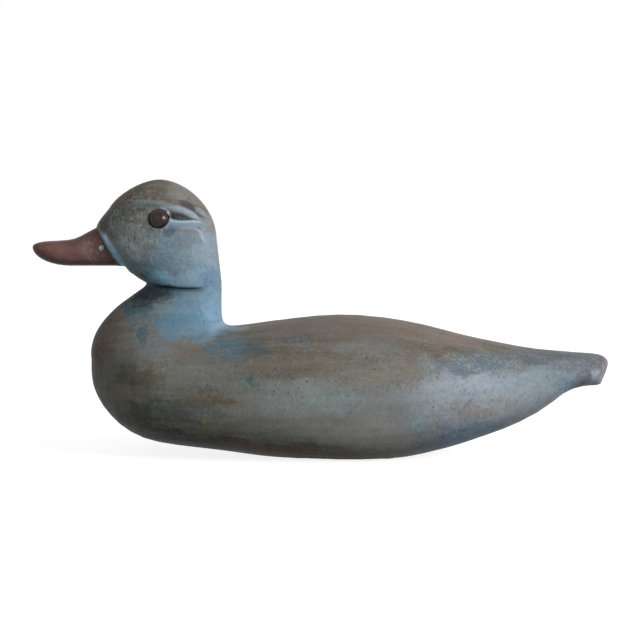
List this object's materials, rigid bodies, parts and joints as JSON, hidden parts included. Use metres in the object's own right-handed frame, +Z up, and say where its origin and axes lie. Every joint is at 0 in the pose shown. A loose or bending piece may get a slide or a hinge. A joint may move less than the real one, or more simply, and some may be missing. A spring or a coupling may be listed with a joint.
{
  "type": "ceramic duck decoy",
  "caption": "Hollow slip-cast ceramic duck decoy ornament with a flat foot, a luted-on head, a separate bill, bead eyes and felt under the foot.",
  "frame": {"origin": "on the table, under the middle of the overall length and width", "axes": "+Z up, -X towards the bill, +X towards the tail, -Y towards the duck's left side"},
  "size_m": [0.3866, 0.14, 0.1844],
  "materials": {
    "glaze": "mottled satin glaze",
    "bill_glaze": "satin brown glaze",
    "eye": "gloss",
    "nostril": "matt pale clay",
    "cork": "natural cork",
    "felt": "felt"
  },
  "bodies": {
    "root": {"body_shell": "glaze", "head_shell": "glaze", "bill": "bill_glaze", "left_eye": "eye", "right_eye": "eye", "left_nostril": "nostril", "right_nostril": "nostril", "pour_hole_cork": "cork", "felt_front_left": "felt", "felt_front_right": "felt", "felt_rear_left": "felt", "felt_rear_right": "felt"}
  },
  "joints": []
}
